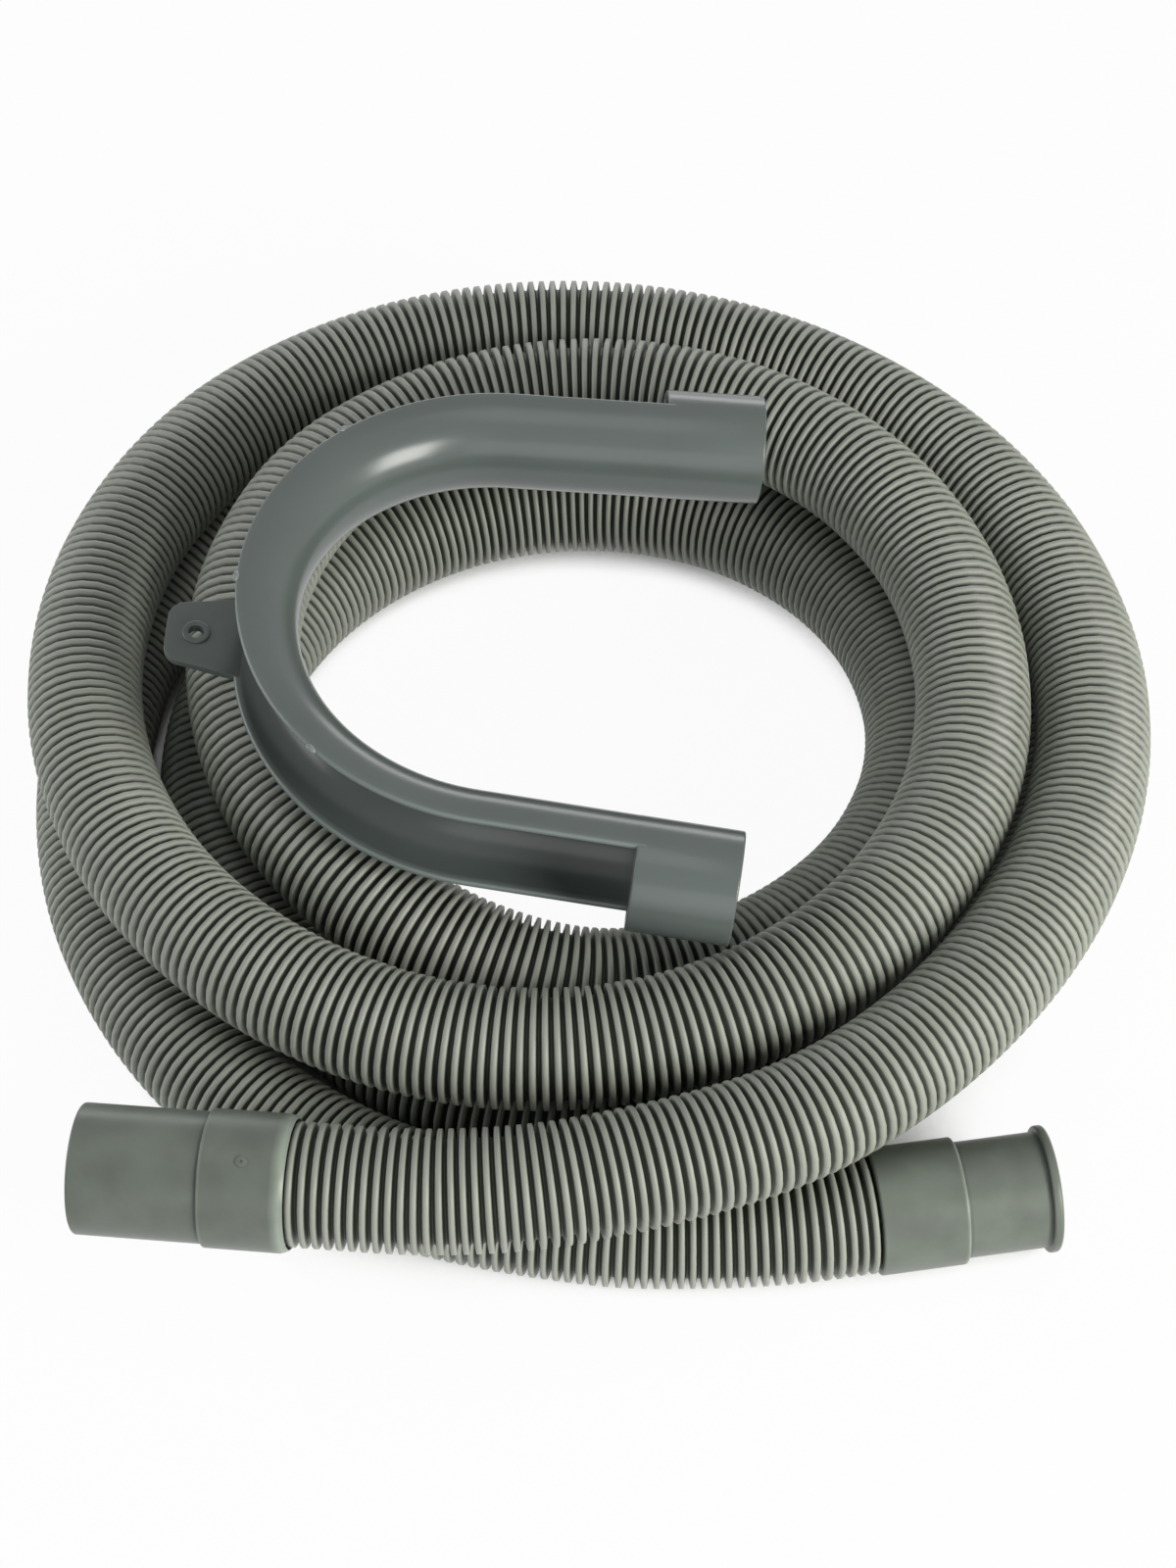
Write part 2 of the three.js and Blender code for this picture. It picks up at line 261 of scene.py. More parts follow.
class DrainHoseCrook(bpy.types.PropertyGroup):
    """Sizes of the crook."""

    radius: length("Section radius", "Outside of the round section", 13.8 * MM)
    wall: length("Wall", "Thickness of the moulding", 1.8 * MM)
    lip: length("Lip", "How far the channel goes on past its half round", 2.0 * MM)
    lip_round: length("Lip rounding", "Rounding of the channel's long edges", 0.7 * MM)
    ring_thicker: length("Ring thickening", "How much the rings stand out", 0.03 * MM)
    bend_radius: length("Bend radius", "Of the section's middle line", 65.0 * MM)
    arm_length: length("Arm length", "From the bend to the end of a ring", 64.0 * MM)
    ring_length: length("Ring length", "Of the closed stretch of an arm", 24.0 * MM)
    flare: FloatProperty(
        name="Flare", description="How far the front arm opens", default=math.radians(6.9), subtype="ANGLE"
    )
    ear_reach: length("Ear reach", "From the middle of the bend to the ear's tip", 84.0 * MM)
    ear_root: length("Ear root", "Half the ear's width where it joins", 12.5 * MM)
    ear_tip: length("Ear tip", "Half the ear's width at its tip", 9.5 * MM)
    ear_corner: length("Ear corner", "Radius of the ear's corners", 5.0 * MM)
    hole_reach: length("Hole reach", "From the middle of the bend to the hole", 76.5 * MM)
    hole_radius: length("Hole radius", "Of the hole in the ear", 1.9 * MM)
    boss_radius: length("Boss radius", "Of the raised ring round the hole", 3.5 * MM)
    boss_height: length("Boss height", "Of the raised ring round the hole", 0.5 * MM)
    nub_radius: length("Nub radius", "Of the nubs on the upper lip", 0.9 * MM)


class DrainHoseFinish(bpy.types.PropertyGroup):
    """Colours of the mouldings and of the floor."""

    ridge: colour("Ridge colour", "Of the hose's ridges", (0.345, 0.365, 0.315))
    # The groove colour is painted shade: far darker than the plastic, it stands in for the shade down in the
    # grooves
    groove: colour("Groove colour", "Of the hose's grooves", (0.058, 0.065, 0.052))
    cuff: colour("Cuff colour", "Of both cuffs", (0.150, 0.174, 0.148))
    crook: colour("Crook colour", "Of the crook", (0.121, 0.145, 0.139))
    floor: colour("Floor colour", "Of the floor", (0.96, 0.96, 0.96))


def fed(tree, socket, value):
    """Links another node's output to a socket, or sets the socket to a value."""
    if isinstance(value, bpy.types.NodeSocket):
        tree.links.new(value, socket)
    else:
        socket.default_value = value


def maths(tree, operation, *terms):
    """The result of a math node on terms that are numbers or outputs of other nodes."""
    node = tree.nodes.new("ShaderNodeMath")
    node.operation = operation
    for socket, term in zip(node.inputs, terms):
        fed(tree, socket, term)
    return node.outputs[0]


def scaled(tree, tone, factor):
    """A colour times a factor."""
    node = tree.nodes.new("ShaderNodeVectorMath")
    node.operation = "SCALE"
    fed(tree, node.inputs[0], tone)
    fed(tree, node.inputs["Scale"], factor)
    return node.outputs[0]


def ranged(tree, value, given=(0.0, 1.0), wanted=(0.0, 1.0), kind="LINEAR"):
    """The value moved from the given range to the wanted one."""
    node = tree.nodes.new("ShaderNodeMapRange")
    node.interpolation_type = kind
    node.inputs["From Min"].default_value, node.inputs["From Max"].default_value = given
    node.inputs["To Min"].default_value, node.inputs["To Max"].default_value = wanted
    tree.links.new(value, node.inputs["Value"])
    return node.outputs["Result"]


def kept_value(tree, name):
    """What a vertex attribute of that name holds."""
    node = tree.nodes.new("ShaderNodeAttribute")
    node.attribute_name = name
    return node.outputs["Fac"]


def surface_noise(tree, scale, detail):
    """Noise in the object's own coordinates."""
    place = tree.nodes.new("ShaderNodeTexCoord")
    node = tree.nodes.new("ShaderNodeTexNoise")
    node.inputs["Detail"].default_value = detail
    tree.links.new(place.outputs["Object"], node.inputs["Vector"])
    tree.links.new(scale, node.inputs["Scale"])
    return node.outputs["Fac"]


def emptied(owner, kind):
    """The node tree of a material or a world with only its output left, and that output's surface."""
    owner.use_nodes = True
    tree = owner.node_tree
    tree.nodes.clear()
    return tree, tree.nodes.new(kind).inputs[0]


def material_named(name, specular):
    """A new node material with its output and its shader."""
    made = bpy.data.materials.new(name)
    tree, surface = emptied(made, "ShaderNodeOutputMaterial")
    shader = tree.nodes.new("ShaderNodeBsdfPrincipled")
    shader.inputs["Specular IOR Level"].default_value = specular
    tree.links.new(shader.outputs[0], surface)
    return made, tree, shader


def moulded_skin():
    """The node group for moulded plastic: soft clouding, a fine grain and a slightly wavy surface."""
    group = bpy.data.node_groups.get("moulded_skin")
    if group:
        return group
    group = bpy.data.node_groups.new("moulded_skin", "ShaderNodeTree")
    for name, kind, value in SKIN_INPUTS:
        socket = group.interface.new_socket(name=name, in_out="INPUT", socket_type=kind)
        socket.default_value = value
    for name, kind in SKIN_OUTPUTS:
        group.interface.new_socket(name=name, in_out="OUTPUT", socket_type=kind)
    given = group.nodes.new("NodeGroupInput").outputs
    result = group.nodes.new("NodeGroupOutput").inputs
    cloud = maths(group, "SUBTRACT", surface_noise(group, given["Cloud Scale"], CLOUD_DETAIL), 0.5)
    swing = maths(group, "MULTIPLY_ADD", cloud, given["Cloud Amount"], 1.0)
    rough = maths(group, "MULTIPLY_ADD", cloud, given["Roughness Spread"], given["Roughness"])
    height = 0.0
    for name, detail in (("Grain", GRAIN_DETAIL), ("Wave", WAVE_DETAIL)):
        noise = surface_noise(group, given[name + " Scale"], detail)
        height = maths(group, "MULTIPLY_ADD", noise, given[name + " Depth"], height)
    bump = group.nodes.new("ShaderNodeBump")
    bump.inputs["Strength"].default_value = 1.0
    bump.inputs["Distance"].default_value = 1.0
    group.links.new(height, bump.inputs["Height"])
    group.links.new(scaled(group, given["Color"], swing), result["Color"])
    group.links.new(rough, result["Roughness"])
    group.links.new(bump.outputs[0], result["Normal"])
    return group


def wear_skin(tree, shader, tone, **values):
    """Gives the shader the moulded skin, in the tone that another node puts out."""
    skin = tree.nodes.new("ShaderNodeGroup")
    skin.node_tree = moulded_skin()
    tree.links.new(tone, skin.inputs["Color"])
    for name, value in values.items():
        skin.inputs[name.replace("_", " ").title()].default_value = value
    for name, target in (("Color", "Base Color"), ("Roughness", "Roughness"), ("Normal", "Normal")):
        tree.links.new(skin.outputs[name], shader.inputs[target])


def hose_material(finish):
    """Grey-green plastic with painted shade darkening it down in the grooves, a little uneven from rib to
    rib.
    """
    made, tree, shader = material_named("hose_plastic", specular=0.4)
    mix = tree.nodes.new("ShaderNodeMix")
    mix.data_type = "RGBA"
    mix.inputs["A"].default_value = (*finish.groove, 1.0)
    mix.inputs["B"].default_value = (*finish.ridge, 1.0)
    # Painted shade: the colour goes from the groove colour to the ridge colour by how far out a place lies
    crown = ranged(tree, kept_value(tree, "ridge"), (CROWN_FROM, 1.0), kind="SMOOTHSTEP")
    tree.links.new(crown, mix.inputs["Factor"])
    stretch = tree.nodes.new("ShaderNodeTexNoise")
    stretch.noise_dimensions = "1D"
    stretch.inputs["Scale"].default_value = RIB_NOISE_SCALE
    tree.links.new(kept_value(tree, "along"), stretch.inputs["W"])
    level = ranged(tree, stretch.outputs["Fac"], wanted=(RIB_DARKEST, RIB_LIGHTEST))
    wear_skin(
        tree, shader, scaled(tree, mix.outputs["Result"], level), cloud_scale=45.0,
        cloud_amount=0.25, roughness=0.46, grain_depth=0.003 * MM, wave_depth=0.0,
    )
    return made


def tone_with_painted_light(tree, tone):
    """The colour with painted light: lighter, a painted highlight, where the edge attribute is above nought,
    and darker, painted shade, where it is below.
    """
    return scaled(tree, tuple(tone), maths(tree, "ADD", kept_value(tree, "edge"), 1.0))


def cuff_material(finish):
    """Satin grey-green moulded plastic, with painted highlights on its edges and painted shade in its
    corners.
    """
    made = bpy.data.materials.get("cuff_plastic")
    if made:
        return made
    made, tree, shader = material_named("cuff_plastic", specular=0.45)
    wear_skin(
        tree, shader, tone_with_painted_light(tree, finish.cuff), cloud_scale=75.0, cloud_amount=0.8,
        roughness=0.36, roughness_spread=0.25, grain_depth=0.006 * MM, wave_depth=0.09 * MM,
    )
    return made


def crook_material(finish):
    """Smoother, glossier grey plastic, with painted highlights along the lips and on the nubs and painted
    shade inside the channel.
    """
    made, tree, shader = material_named("crook_plastic", specular=0.5)
    wear_skin(
        tree, shader, tone_with_painted_light(tree, finish.crook), cloud_scale=35.0, cloud_amount=0.2,
        roughness=0.235, grain_depth=0.003 * MM, wave_depth=0.03 * MM,
    )
    return made


def blended(before, a, b, after, t):
    """A point between a and b on an even Catmull-Rom curve."""
    return 0.5 * (
        2 * a + (b - before) * t
        + (2 * before - 5 * a + 4 * b - after) * t * t
        + (3 * a - before - 3 * b + after) * t * t * t
    )


def coil_points():
    """Two points for each eighth of a turn, blended from the stations and placed round the middle."""
    stations = np.array([*OUTER_TURN, *SECOND_TURN, *INNER_TURN, *FLOOR_TURN, TURN_END])
    padded = np.vstack([2 * stations[0] - stations[1], stations, 2 * stations[-1] - stations[-2]])
    last = len(stations) - 1
    places = [(i, t, blended(*padded[i:i + 4], t)) for i in range(last) for t in (0.0, 0.5)]
    places.append((last, 0.0, stations[-1]))
    points = []
    for i, t, (radius, height) in places:
        angle = -math.pi / 2 + (i + t) * 2 * math.pi / STATIONS_PER_TURN
        points.append(Vector((radius * math.cos(angle), radius * math.sin(angle), height)))
    return points


def outlet_axis():
    """The way from the outlet's tip into the hose."""
    flat = math.cos(OUTLET_RISE)
    x, y = flat * math.cos(OUTLET_HEADING), flat * math.sin(OUTLET_HEADING)
    return Vector((x, y, math.sin(OUTLET_RISE)))


def machine_axis():
    """The way out of the hose through the machine cuff."""
    return Vector((math.cos(MACHINE_HEADING), math.sin(MACHINE_HEADING), 0.0))


def route_points(cuffs, tube):
    """The hose's route: out of the outlet cuff, round the coil and into the machine cuff."""
    whole = cuffs.outlet_spout_length + cuffs.outlet_collar_length
    points = [
        OUTLET_TIP + outlet_axis() * (whole - cuffs.outlet_socket_depth + SEAT_GAP),
        OUTLET_TIP + outlet_axis() * (whole + OUTLET_STRAIGHT),
        LEAVING_OUTLET,
        *coil_points(),
        NEARING_MACHINE,
        MACHINE_START - machine_axis() * tube.radius * MACHINE_STRAIGHT_RADII,
        MACHINE_START,
    ]
    return [p + COIL_MIDDLE for p in points]


def smooth_route(points):
    """A fine line through the points, on a centripetal Catmull-Rom curve."""
    knots = np.array([tuple(p) for p in points])
    knots = np.vstack([2 * knots[0] - knots[1], knots, 2 * knots[-1] - knots[-2]])
    steps = np.arange(ROUTE_STEPS)[:, None] / ROUTE_STEPS
    line = []
    for i in range(1, len(knots) - 2):
        before, a, b, after = knots[i - 1:i + 3]
        spans = (a - before, b - a, after - b)
        first, middle, last = (math.sqrt(np.linalg.norm(span)) for span in spans)
        out = ((a - before) / first - (b - before) / (first + middle) + (b - a) / middle) * middle
        into = ((b - a) / middle - (after - a) / (middle + last) + (after - b) / last) * middle
        line.append(
            (2 * a - 2 * b + out + into) * steps**3
            + (3 * b - 3 * a - 2 * out - into) * steps**2
            + out * steps + a
        )
    line.append(knots[-2][None, :])
    return np.vstack(line)


class Route:
    """A fine line with its length, and places and directions along it."""

    def __init__(self, line):
        self.line = line
        spans = np.linalg.norm(np.diff(line, axis=0), axis=1)
        self.along = np.concatenate([[0.0], np.cumsum(spans)])
        self.whole = float(self.along[-1])
        way = np.gradient(line, self.along, axis=0)
        self.way = way / np.linalg.norm(way, axis=1)[:, None]

    def at(self, s):
        """Places, directions, and the two directions across, at the distances s."""
        place = np.stack([np.interp(s, self.along, self.line[:, k]) for k in range(3)], axis=1)
        way = np.stack([np.interp(s, self.along, self.way[:, k]) for k in range(3)], axis=1)
        way /= np.linalg.norm(way, axis=1)[:, None]
        side = np.cross([0.0, 0.0, 1.0], way)
        side /= np.linalg.norm(side, axis=1)[:, None]
        return place, way, side, np.cross(way, side)


def spun(profile, steps):
    """A closed profile of (along, radius) pairs turned about +X with bmesh's spin."""
    bm = bmesh.new()
    ring = [bm.verts.new((along, radius, 0.0)) for along, radius in profile]
    edges = [bm.edges.new(pair) for pair in zip(ring, ring[1:] + ring[:1])]
    bmesh.ops.spin(
        bm, geom=ring + edges, cent=(0, 0, 0), axis=(1, 0, 0), dvec=(0, 0, 0),
        angle=2 * math.pi, steps=steps, use_merge=True, use_duplicate=False,
    )
    bmesh.ops.recalc_face_normals(bm, faces=bm.faces)
    return bm


def soften(bm, edges, size, segments):
    """Rounds the edges by that size."""
    bmesh.ops.bevel(
        bm, geom=edges, offset=size, offset_type="OFFSET", segments=segments, profile=0.5,
        affect="EDGES", material=-1, clamp_overlap=True,
    )


def round_ring(bm, along, radius, size, segments, beyond=-math.inf):
    """Rounds the ring of edges at that place along the axis and that radius, where Y is beyond a value."""

    def on_ring(co):
        """Whether a place lies on the ring."""
        near = abs(co.x - along) < RING_TOLERANCE
        return near and abs(math.hypot(co.y, co.z) - radius) < RING_TOLERANCE and co.y > beyond

    edges = [e for e in bm.edges if all(on_ring(v.co) for v in e.verts)]
    if not edges:
        raise RuntimeError(f"no ring of edges at {along:.4f}, {radius:.4f}")
    soften(bm, edges, size, segments)


def round_rings(bm, rings):
    """Rounds rings of edges, each given as its place along the axis, radius, size and segments."""
    for ring in rings:
        round_ring(bm, *ring)


def paint_edge_highlight_and_shade(bm, rings):
    """Keeps how much painted highlight (above nought) or painted shade (below) each vertex gets, from
    (along, radius, reach, amount).
    """
    for along, _, reach, _ in rings:
        for share in (-1.0, -0.5, 0.5, 1.0):
            geom = list(bm.verts) + list(bm.edges) + list(bm.faces)
            place = (along + share * reach, 0.0, 0.0)
            bmesh.ops.bisect_plane(
                bm, geom=geom, dist=CUT_TOLERANCE, plane_co=place, plane_no=(1.0, 0.0, 0.0)
            )
    edge = bm.verts.layers.float.new("edge")
    for vert in bm.verts:
        across = math.hypot(vert.co.y, vert.co.z)
        for along, radius, reach, amount in rings:
            near = 1.0 - math.hypot(vert.co.x - along, across - radius) / reach
            vert[edge] += amount * max(near, 0.0)


def add_piece(name, bm, material, nodes):
    """A finished piece: its mesh, its material, the body it rides on and the nodes it stands for."""
    mesh = bpy.data.meshes.new(name)
    bm.to_mesh(mesh)
    bm.free()
    mesh.materials.append(material)
    mesh.polygons.foreach_set("use_smooth", np.ones(len(mesh.polygons), bool))
    piece = bpy.data.objects.new(name, mesh)
    bpy.context.scene.collection.objects.link(piece)
    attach(piece, BODY)
    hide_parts(*nodes)
    return piece


def sharpen(piece):
    """Marks steep edges as sharp, so that the faces beside them don't shade into each other."""
    mesh = piece.data
    bm = bmesh.new()
    bm.from_mesh(mesh)
    for edge in bm.edges:
        edge.smooth = len(edge.link_faces) == 2 and edge.calc_face_angle(0.0) < SHARP_ANGLE
    bm.to_mesh(mesh)
    bm.free()


def rib_profile(tube, whole):
    """The hose's outline: ribs along the outside, then back along the smooth bore."""
    ribs = round(whole / tube.pitch)
    pitch = whole / ribs
    crown, floor = tube.radius, tube.radius - tube.groove
    bore = floor - tube.wall
    outside = []
    for i in range(ribs):
        start = i * pitch
        for share, on_crown in RIB_CORNERS:
            outside.append((start + share * pitch, crown if on_crown else floor))
    outside[0] = (0.0, floor)
    outside[-1] = (whole, floor)
    back = [(whole * (1 - i / BORE_STEPS), bore) for i in range(BORE_STEPS + 1)]
    return outside + back


def lay_along(piece, route, tube):
    """Moves the straight tube's vertices onto the route and keeps how far along and out each was."""
    mesh = piece.data
    flat = np.empty(len(mesh.vertices) * 3, np.float64)
    mesh.vertices.foreach_get("co", flat)
    straight = flat.reshape(-1, 3)
    place, _, side, up = route.at(straight[:, 0])
    laid = place + side * straight[:, 1:2] + up * straight[:, 2:3]
    mesh.vertices.foreach_set("co", laid.ravel())
    radius = np.hypot(straight[:, 1], straight[:, 2])
    low = tube.radius - tube.groove
    # How far out a place lies, which the hose's material turns into painted shade in the grooves
    ridge = np.clip((radius - low) / tube.groove, 0.0, 1.0)
    for name, values in (("along", straight[:, 0]), ("ridge", ridge)):
        layer = mesh.attributes.new(name, "FLOAT", "POINT")
        layer.data.foreach_set("value", values.astype(np.float32))
    mesh.update()


def place_matrix(origin, heading=0.0, rise=0.0, roll=0.0):
    """From a piece's own frame to the model's."""
    turn = Matrix.Rotation(heading, 4, "Z") @ Matrix.Rotation(-rise, 4, "Y")
    return Matrix.Translation(origin + COIL_MIDDLE) @ (turn @ Matrix.Rotation(roll, 4, "X"))


def moved(bm, matrix):
    """The same mesh, moved."""
    bmesh.ops.transform(bm, matrix=matrix, verts=bm.verts)
    return bm


def joined(parts):
    """One mesh out of several."""
    whole = bmesh.new()
    for part in parts:
        mesh = bpy.data.meshes.new("part")
        part.to_mesh(mesh)
        part.free()
        whole.from_mesh(mesh)
        bpy.data.meshes.remove(mesh)
    return whole


def mould_mark(middle, collar):
    """The small round mark that stands a little proud of the collar."""
    bm = spun([
        (0.0, MARK_HOLE), (MARK_HEIGHT, MARK_HOLE), (MARK_HEIGHT, MARK_RADIUS), (0.0, MARK_RADIUS),
    ], MARK_SIDES)
    round_ring(bm, MARK_HEIGHT, MARK_RADIUS, MARK_ROUND, 2)
    lean = Matrix.Rotation(MARK_LEAN, 4, "X") @ Matrix.Rotation(-math.pi / 2, 4, "Y")
    out = lean @ Vector((collar - MARK_SINK, 0.0, 0.0))
    return moved(bm, Matrix.Translation(Vector((middle, out.y, out.z))) @ lean)


def outlet_cuff_mesh(cuffs, tube):
    """Spout, collar and the socket that the hose sits in, with a small mould mark on the collar."""
    step = cuffs.outlet_spout_length
    mouth = step + cuffs.outlet_collar_length
    socket, socket_radius = mouth - cuffs.outlet_socket_depth, tube.radius + cuffs.outlet_socket_gap
    collar, spout, bore = cuffs.outlet_collar_radius, cuffs.outlet_spout_radius, cuffs.outlet_bore_radius
    fade, rim = mouth - cuffs.outlet_mouth_length, collar - cuffs.outlet_mouth_depth
    bm = spun([
        (0.0, bore), (socket, bore), (socket, socket_radius), (mouth, socket_radius),
        (mouth, rim), (fade, collar), (step, collar), (step, spout), (0.0, spout),
    ], CUFF_SIDES)
    round_rings(bm, (
        (fade, collar, MOUTH_ROUND, 3),
        (mouth, rim, MOUTH_RIM_ROUND, 2),
        (step, collar, cuffs.step_round, 4),
        (step, spout, cuffs.step_round * OUTLET_CORNER_SHARE, 2),
        (0.0, spout, cuffs.outlet_tip_round, 5),
        (0.0, bore, cuffs.outlet_tip_round * TIP_INNER_SHARE, 3),
    ))
    # Painted highlights on the mouth's rounding and on the step's edge, and painted shade in the step's
    # corner
    paint_edge_highlight_and_shade(bm, (
        (mouth - 0.8 * MM, collar - 0.3 * MM, 2.6 * MM, 1.1),
        (step + 0.2 * MM, collar, 0.7 * MM, 0.5),
        (step, spout, 0.9 * MM, -0.6),
    ))
    return joined([bm, mould_mark(step + cuffs.outlet_collar_length * 0.5, collar)])


def machine_cuff_mesh(cuffs):
    """Collar, spout and flange lip, with the sleeve that goes into the hose."""
    step = cuffs.machine_collar_length
    lip_start = step + cuffs.machine_spout_length
    end = lip_start + cuffs.machine_lip_length
    start, sleeve = -cuffs.machine_sleeve_length, cuffs.machine_sleeve_radius
    inside = sleeve - cuffs.machine_sleeve_wall
    collar, spout = cuffs.machine_collar_radius, cuffs.machine_spout_radius
    lip, bore = cuffs.machine_lip_radius, cuffs.machine_bore_radius
    bm = spun([
        (start, inside), (step, inside), (step + cuffs.machine_taper, bore), (end, bore),
        (end, lip), (lip_start, lip), (lip_start, spout), (step, spout), (step, collar),
        (SEAT_GAP, collar), (SEAT_GAP, sleeve), (start, sleeve),
    ], CUFF_SIDES)
    round_rings(bm, (
        (end, lip, LIP_OUTER_ROUND, 4),
        (end, bore, LIP_INNER_ROUND, 3),
        (lip_start, lip, LIP_BACK_ROUND, 3),
        (lip_start, spout, LIP_CORNER_ROUND, 2),
        (step, collar, cuffs.step_round, 4),
        (step, spout, cuffs.step_round * MACHINE_CORNER_SHARE, 2),
        (SEAT_GAP, collar, cuffs.step_round * MACHINE_START_SHARE, 4),
    ))
    # Painted highlights on the step's edge and on the collar's end, and painted shade in the step's corner
    # and behind the lip
    paint_edge_highlight_and_shade(bm, (
        (step - 0.2 * MM, collar, 0.8 * MM, 0.9),
        (step, spout, 1.1 * MM, -0.4),
        (lip_start, spout, 1.2 * MM, -0.6),
        (SEAT_GAP, collar, 1.0 * MM, 0.3),
    ))
    return bm


def across_arm(sizes, co):
    """How far out from the bend's and the arms' middle line a place is, in plan."""
    turned = Matrix.Rotation(sizes.flare, 4, "Z") @ co
    if co.x > 0.0 and co.y > 0.0:
        return co.y - sizes.bend_radius
    if turned.x > 0.0 and turned.y < 0.0:
        return -turned.y - sizes.bend_radius
    return math.hypot(co.x, co.y) - sizes.bend_radius


def paint_channel_highlight_and_shade(bm, sizes):
    """Keeps on the channel's vertices a painted highlight along its lips and painted shade inside it."""
    edge = bm.verts.layers.float.new("edge")
    shaded = sizes.radius - sizes.wall * SHADED_WALL_SHARE
    for vert in bm.verts:
        out = across_arm(sizes, vert.co)
        lip_highlight = max(0.0, 1.0 - (sizes.lip - out) / LIP_HIGHLIGHT_REACH)
        inside = out < sizes.lip - LIP_HIGHLIGHT_REACH and math.hypot(out, vert.co.z) < shaded
        # Painted highlight on the lips, painted shade inside the channel
        vert[edge] = LIP_HIGHLIGHT * lip_highlight - (CHANNEL_SHADE if inside else 0.0)


def channel_section(bm, mark, sizes, start):
    """The channel's section at the rear ring, its four lip corners marked, as a ring of edges."""
    outer, inner = sizes.radius, sizes.radius - sizes.wall
    turns = [math.pi * i / SECTION_STEPS for i in range(SECTION_STEPS + 1)]
    places = [
        (sizes.lip, outer, 1),
        *[(-outer * math.sin(turn), outer * math.cos(turn), 0) for turn in turns],
        (sizes.lip, -outer, 2),
        (sizes.lip, -inner, 3),
        *[(-inner * math.sin(turn), inner * math.cos(turn), 0) for turn in reversed(turns)],
        (sizes.lip, inner, 4),
    ]
    section = []
    for y, z, corner in places:
        vert = bm.verts.new((start, sizes.bend_radius + y, z))
        vert[mark] = corner
        section.append(vert)
    return [bm.edges.new(pair) for pair in zip(section, section[1:] + section[:1])]


def run_on(bm, edges, way):
    """Draws a ring of edges out along a way and gives the ring at its end."""
    made = bmesh.ops.extrude_edge_only(bm, edges=edges)["geom"]
    verts = [g for g in made if isinstance(g, bmesh.types.BMVert)]
    bmesh.ops.translate(bm, vec=way, verts=verts)
    ends = set(verts)
    return [g for g in made if isinstance(g, bmesh.types.BMEdge) and set(g.verts) <= ends]


def round_bend(bm, edges, turn):
    """Draws a ring of edges round the bend and gives the ring at its end."""
    verts = list(dict.fromkeys(v for e in edges for v in e.verts))
    last = bmesh.ops.spin(
        bm, geom=edges + verts, cent=(0, 0, 0), axis=(0, 0, 1), dvec=(0, 0, 0), angle=turn,
        steps=BEND_STEPS, use_merge=False, use_duplicate=False,
    )["geom_last"]
    return [g for g in last if isinstance(g, bmesh.types.BMEdge)]


def channel_mesh(sizes):
    """Half-round channel: its section run along the rear arm, round the bend and along the front arm."""
    bm = bmesh.new()
    mark = bm.verts.layers.int.new("lip")
    start = sizes.arm_length - sizes.ring_length + OVERLAP
    front_way = Vector((math.cos(sizes.flare), -math.sin(sizes.flare), 0.0))
    near = channel_section(bm, mark, sizes, start)
    bend_start = run_on(bm, near, Vector((-start, 0.0, 0.0)))
    bend_end = round_bend(bm, bend_start, math.pi - sizes.flare)
    far = run_on(bm, bend_end, front_way * start)
    for loop in (near, far):
        bmesh.ops.contextual_create(bm, geom=loop)
    lips = [e for e in bm.edges if e.verts[0][mark] and e.verts[0][mark] == e.verts[1][mark]]
    soften(bm, lips, sizes.lip_round, 4)
    bmesh.ops.recalc_face_normals(bm, faces=bm.faces)
    paint_channel_highlight_and_shade(bm, sizes)
    return bm


def crook_ring_mesh(sizes):
    """The closed ring at the end of an arm, along +X, its inner end rounded where the channel is open."""
    outside = sizes.radius + sizes.ring_thicker
    inside = sizes.radius - sizes.wall - sizes.ring_thicker
    end = sizes.ring_length
    bm = spun([(-OVERLAP, inside), (end, inside), (end, outside), (-OVERLAP, outside)], CUFF_SIDES)
    for along, beyond in ((-OVERLAP, sizes.lip), (end, -math.inf)):
        round_ring(bm, along, outside, RING_OUTER_ROUND, 4, beyond)
        round_ring(bm, along, inside, RING_INNER_ROUND, 3, beyond)
    return bm


def ear_outline(sizes):
    """The flat ear's outline: a straight root, and two rounded corners at the tip."""
    root = sizes.bend_radius - EAR_SINK
    corner = sizes.ear_corner
    outline = [(root, -sizes.ear_root), (root, sizes.ear_root)]
    for turn, side in ((90.0, 1), (0.0, -1)):
        for i in range(EAR_CORNER_STEPS + 1):
            angle = math.radians(turn - 90.0 * i / EAR_CORNER_STEPS)
            outline.append((
                sizes.ear_reach - corner + corner * math.cos(angle),
                side * (sizes.ear_tip - corner) + corner * math.sin(angle),
            ))
    return outline


def ear_plate(sizes):
    """The flat ear with its hole, its upper edges rounded."""
    outline = ear_outline(sizes)
    bm = bmesh.new()
    rim = [bm.verts.new((x, y, 0.0)) for x, y in outline]
    edges = [bm.edges.new(pair) for pair in zip(rim, rim[1:] + rim[:1])]
    hole = bmesh.ops.create_circle(
        bm, segments=len(outline), radius=sizes.hole_radius,
        matrix=Matrix.Translation((sizes.hole_reach, 0.0, 0.0)),
    )["verts"]
    edges += dict.fromkeys(e for v in hole for e in v.link_edges)
    bmesh.ops.bridge_loops(bm, edges=edges)
    top = bmesh.ops.extrude_face_region(bm, geom=list(bm.faces), use_keep_orig=True)["geom"]
    raised = [g for g in top if isinstance(g, bmesh.types.BMVert)]
    bmesh.ops.translate(bm, vec=(0.0, 0.0, sizes.wall), verts=raised)
    bmesh.ops.recalc_face_normals(bm, faces=bm.faces)
    above = set(raised)
    upper = [
        e for e in bm.edges
        if set(e.verts) <= above and len(e.link_faces) == 2
        and e.calc_face_angle(0.0) > CORNER_ANGLE
    ]
    soften(bm, upper, EAR_ROUND, 3)
    return bm


